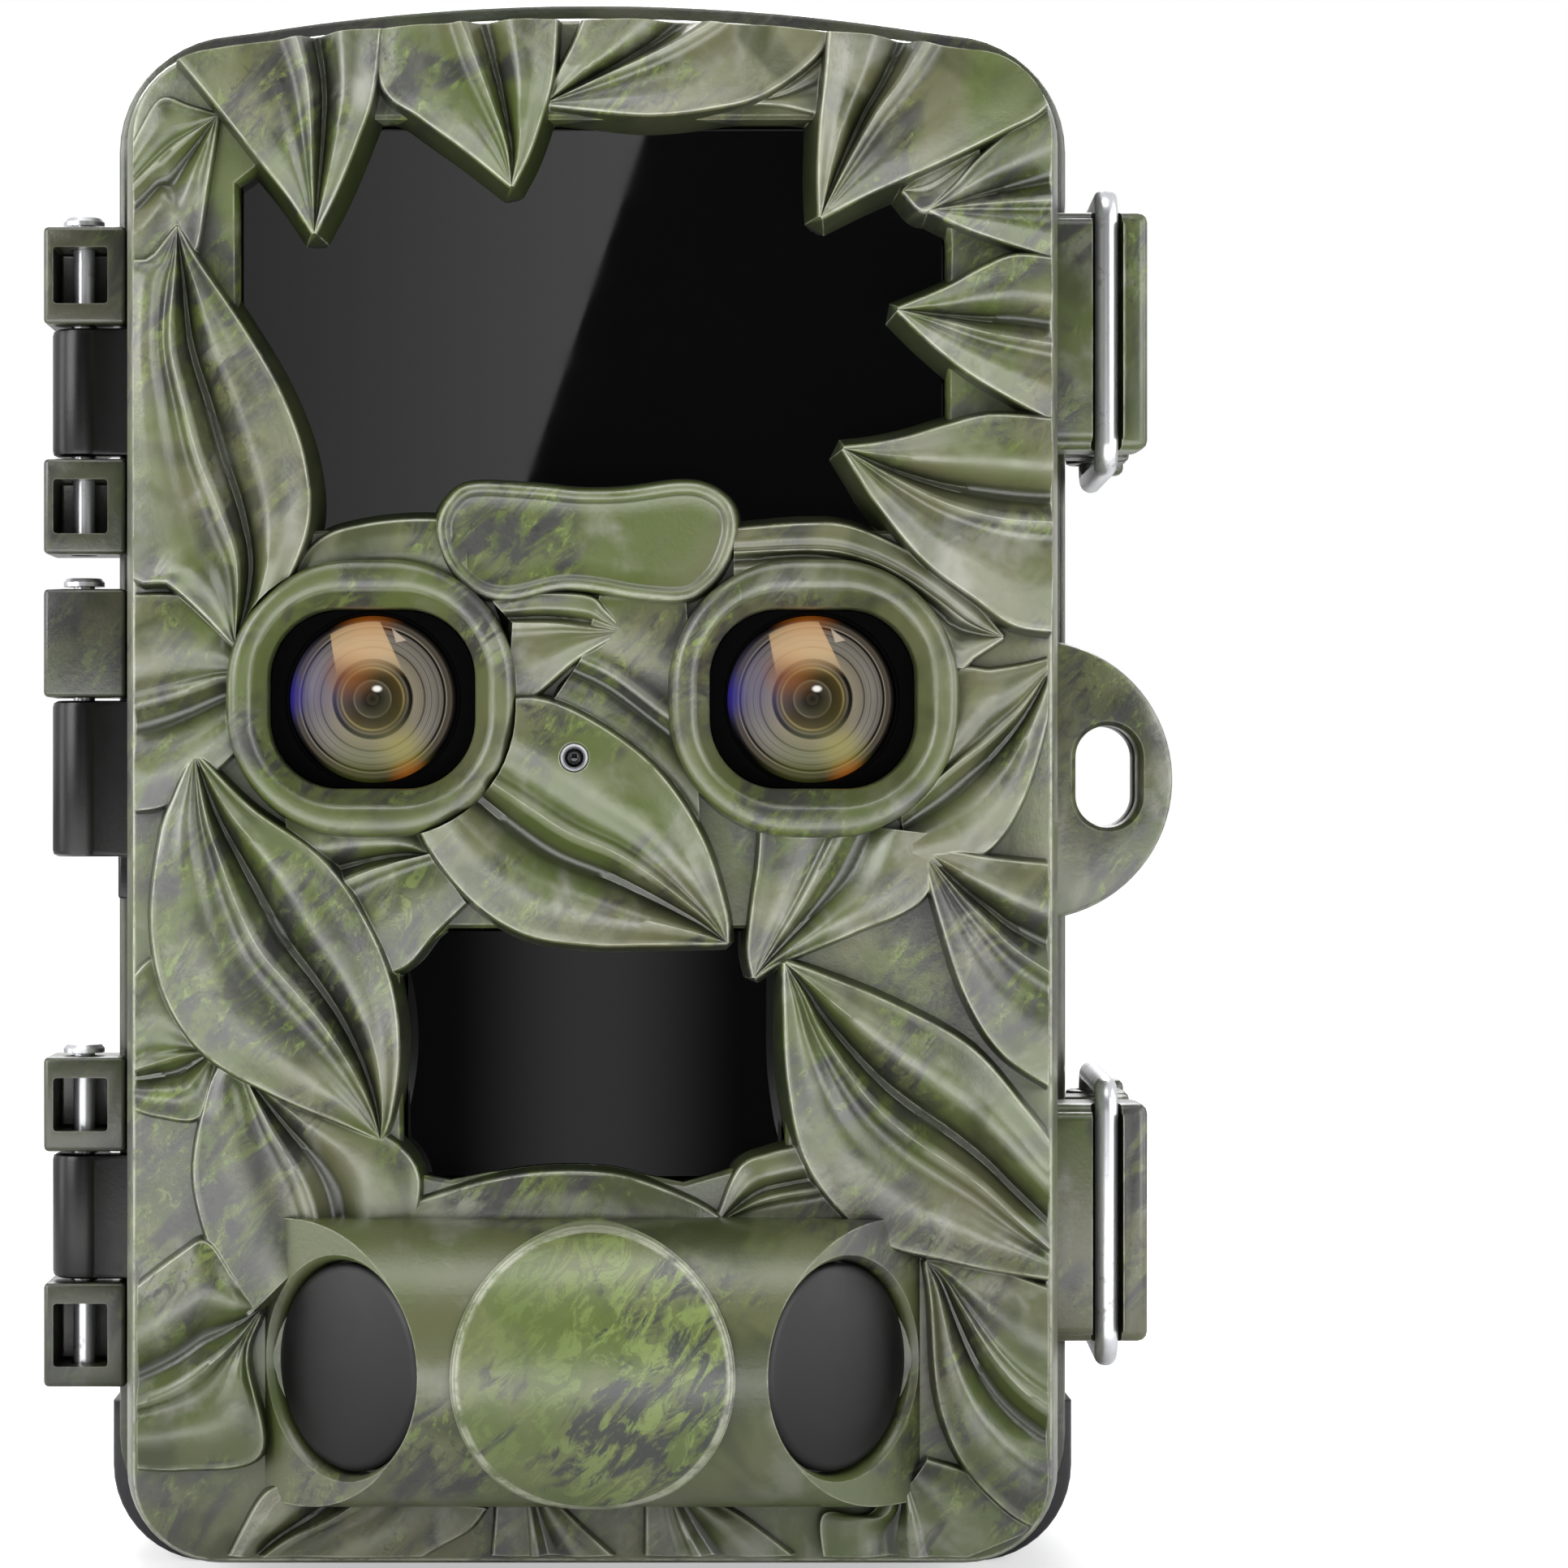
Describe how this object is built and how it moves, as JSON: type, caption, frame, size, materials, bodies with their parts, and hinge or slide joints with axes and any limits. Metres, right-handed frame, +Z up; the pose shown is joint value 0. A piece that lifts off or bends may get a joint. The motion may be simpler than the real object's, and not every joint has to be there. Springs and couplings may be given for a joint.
{
  "type": "trail camera",
  "caption": "Upright camouflage trail camera: leaf-moulded door with lenses, infrared lamp panel and motion-sensor nose, hinged to a battery case with wire latches and strap rails.",
  "frame": {"origin": "centre of the bounding box's footprint, at the level of the underside", "axes": "+Z up, -Y the way the lenses look, +X towards the latches, on the right when facing the lenses"},
  "size_m": [0.104, 0.0746, 0.1449],
  "materials": {
    "camo_plastic": "satin moulded plastic with a green, moss and violet-grey camouflage print",
    "black_plastic": "fine satin",
    "black_gloss": "polished, passes infrared only",
    "lens_glass": "polished and coated",
    "bright_steel": "bright plated",
    "dull_steel": "tinned",
    "brass": "turned",
    "rubber": "matt",
    "circuit_board": "solder mask",
    "cell_case": "printed sleeve without lettering"
  },
  "bodies": {
    "rear_case": {"rear_shell": "camo_plastic", "base_boot": "rubber", "case_seal": "rubber", "battery_tray": "black_plastic", "battery_cell_1": "cell_case", "battery_cell_2": "cell_case", "battery_cell_3": "cell_case", "battery_cell_4": "cell_case", "battery_cell_5": "cell_case", "battery_cell_6": "cell_case", "battery_cell_7": "cell_case", "battery_cell_8": "cell_case", "contact_strip_lower": "bright_steel", "contact_strip_upper": "bright_steel", "hinge_pin_upper": "bright_steel", "hinge_pin_middle": "bright_steel", "hinge_pin_lower": "bright_steel", "tripod_insert": "brass", "latch_pin_upper": "bright_steel", "latch_pin_lower": "bright_steel"},
    "door": {"front_shell": "camo_plastic", "door_frame": "black_plastic", "lamp_window": "black_gloss", "lamp_board": "circuit_board", "motion_window": "black_gloss", "motion_sensor_front": "dull_steel", "motion_lens_left": "black_gloss", "motion_sensor_left": "dull_steel", "lens_barrel_left": "black_plastic", "lens_glass_left": "lens_glass", "motion_lens_right": "black_gloss", "motion_sensor_right": "dull_steel", "lens_barrel_right": "black_plastic", "lens_glass_right": "lens_glass", "status_lamp": "lens_glass", "main_board": "circuit_board", "screen": "black_gloss", "frame_screw_1": "bright_steel", "frame_screw_2": "bright_steel", "frame_screw_3": "bright_steel", "frame_screw_4": "bright_steel", "card_socket": "dull_steel", "usb_port": "dull_steel", "speaker": "black_plastic"},
    "ok_button": {"button_ok": "rubber"},
    "up_button": {"button_up": "rubber"},
    "down_button": {"button_down": "rubber"},
    "left_button": {"button_left": "rubber"},
    "right_button": {"button_right": "rubber"},
    "menu_button": {"button_menu": "rubber"},
    "power_slider": {"power_switch": "black_plastic"},
    "card": {"memory_card": "black_plastic"},
    "upper_lever": {"latch_lever_upper": "camo_plastic"},
    "upper_bail": {"latch_bail_upper": "bright_steel"},
    "lower_lever": {"latch_lever_lower": "camo_plastic"},
    "lower_bail": {"latch_bail_lower": "bright_steel"}
  },
  "joints": [
    {"name": "door_swing", "type": "hinge", "parent": "rear_case", "child": "door", "pos_m": [-0.0486, -0.0011, 0.0725], "axis": [0, 0, -1], "range_deg": [0, 135]},
    {"name": "upper_lever_swing", "type": "hinge", "parent": "rear_case", "child": "upper_lever", "pos_m": [0.0468, 0.0068, 0.1136], "axis": [0, 0, -1], "range_deg": [0, 120]},
    {"name": "upper_bail_swing", "type": "hinge", "parent": "upper_lever", "child": "upper_bail", "pos_m": [0.0465, 0.0145, 0.1136], "axis": [0, 0, 1], "range_deg": [0, 216]},
    {"name": "lower_lever_swing", "type": "hinge", "parent": "rear_case", "child": "lower_lever", "pos_m": [0.0468, 0.0068, 0.0327], "axis": [0, 0, -1], "range_deg": [0, 120]},
    {"name": "lower_bail_swing", "type": "hinge", "parent": "lower_lever", "child": "lower_bail", "pos_m": [0.0465, 0.0145, 0.0327], "axis": [0, 0, 1], "range_deg": [0, 216]},
    {"name": "ok_press", "type": "slide", "parent": "door", "child": "ok_button", "axis": [0, -1, 0], "range_m": [0, 0.0006]},
    {"name": "up_press", "type": "slide", "parent": "door", "child": "up_button", "axis": [0, -1, 0], "range_m": [0, 0.0006]},
    {"name": "down_press", "type": "slide", "parent": "door", "child": "down_button", "axis": [0, -1, 0], "range_m": [0, 0.0006]},
    {"name": "left_press", "type": "slide", "parent": "door", "child": "left_button", "axis": [0, -1, 0], "range_m": [0, 0.0006]},
    {"name": "right_press", "type": "slide", "parent": "door", "child": "right_button", "axis": [0, -1, 0], "range_m": [0, 0.0006]},
    {"name": "menu_press", "type": "slide", "parent": "door", "child": "menu_button", "axis": [0, -1, 0], "range_m": [0, 0.0006]},
    {"name": "power_slide", "type": "slide", "parent": "door", "child": "power_slider", "axis": [1, 0, 0], "range_m": [0, 0.006]},
    {"name": "card_slide", "type": "slide", "parent": "door", "child": "card", "axis": [0, 0, -1], "range_m": [0, 0.011]}
  ],
  "couplings": [
    {"joint": "upper_bail_swing", "follows": "upper_lever_swing", "ratio": 1.8},
    {"joint": "lower_bail_swing", "follows": "lower_lever_swing", "ratio": 1.8}
  ]
}
